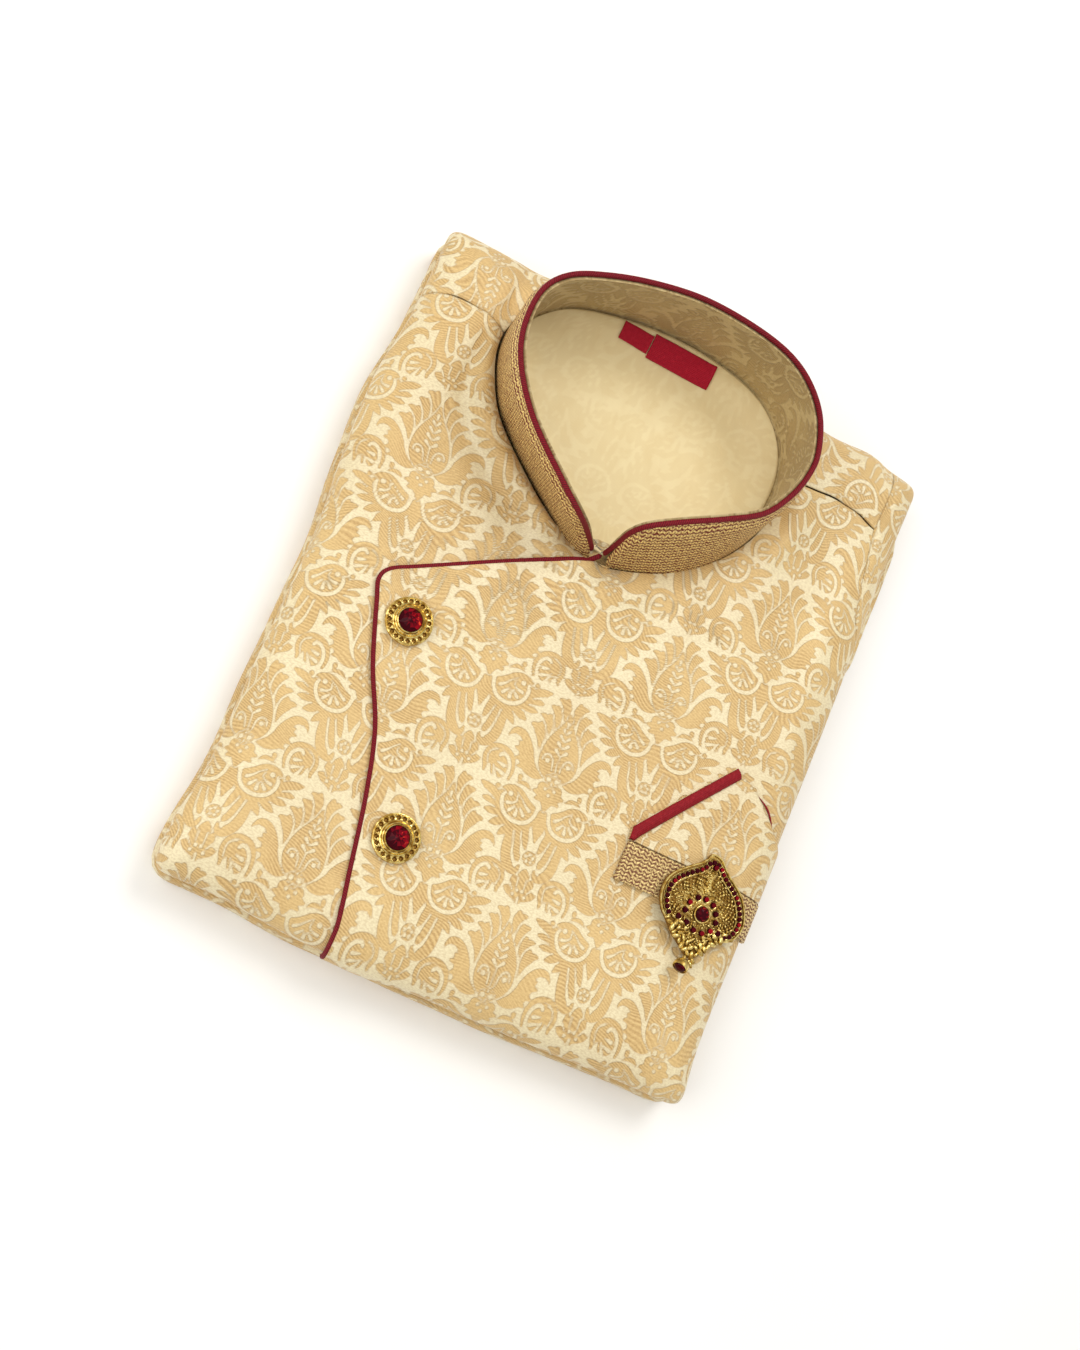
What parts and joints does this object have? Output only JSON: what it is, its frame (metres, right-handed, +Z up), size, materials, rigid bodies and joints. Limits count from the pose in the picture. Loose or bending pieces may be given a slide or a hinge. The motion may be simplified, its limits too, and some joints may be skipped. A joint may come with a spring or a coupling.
{
  "type": "sherwani coat",
  "caption": "Brocade sherwani coat folded flat, with an open mandarin collar, overlapping front, jewelled buttons, chest pocket with pocket square, and a brooch.",
  "frame": {"origin": "centre of the folded coat's underside, on the surface it lies on", "axes": "+X across the fold towards the wearer's left side, +Y up the fold towards the collar, +Z up from the surface"},
  "size_m": [0.2698, 0.3388, 0.0818],
  "materials": {
    "brocade": "woven cream and gold brocade, low sheen",
    "brocade_reverse": "reverse of the brocade, matte olive gold",
    "plain_lining": "pale yellow-beige woven cloth, matte",
    "braid": "chevron braid in gold and brown-maroon thread",
    "maroon_cord": "twisted maroon cord with a satin gloss",
    "maroon_weave": "maroon woven cloth",
    "gilt_metal": "cast gilt metal, bright on the beads, dark in the hollows",
    "red_stone": "faceted deep red stone, glossy"
  },
  "bodies": {
    "root": {"folded_layers": "brocade", "front_right_panel": "brocade", "front_left_panel": "brocade", "back_yoke": "brocade", "sleeve_left": "brocade", "inside_back": "plain_lining", "collar_stand": "brocade_reverse", "collar_braid": "braid", "collar_piping": "maroon_cord", "front_piping": "maroon_cord", "pocket_welt": "braid", "pocket_square": "brocade", "pocket_square_edging": "maroon_weave", "label_main": "maroon_weave", "label_care": "maroon_weave", "button_upper": "gilt_metal", "button_upper_stone": "red_stone", "button_lower": "gilt_metal", "button_lower_stone": "red_stone", "brooch_plate": "gilt_metal", "brooch_stone": "red_stone", "brooch_drop": "gilt_metal"}
  },
  "joints": []
}
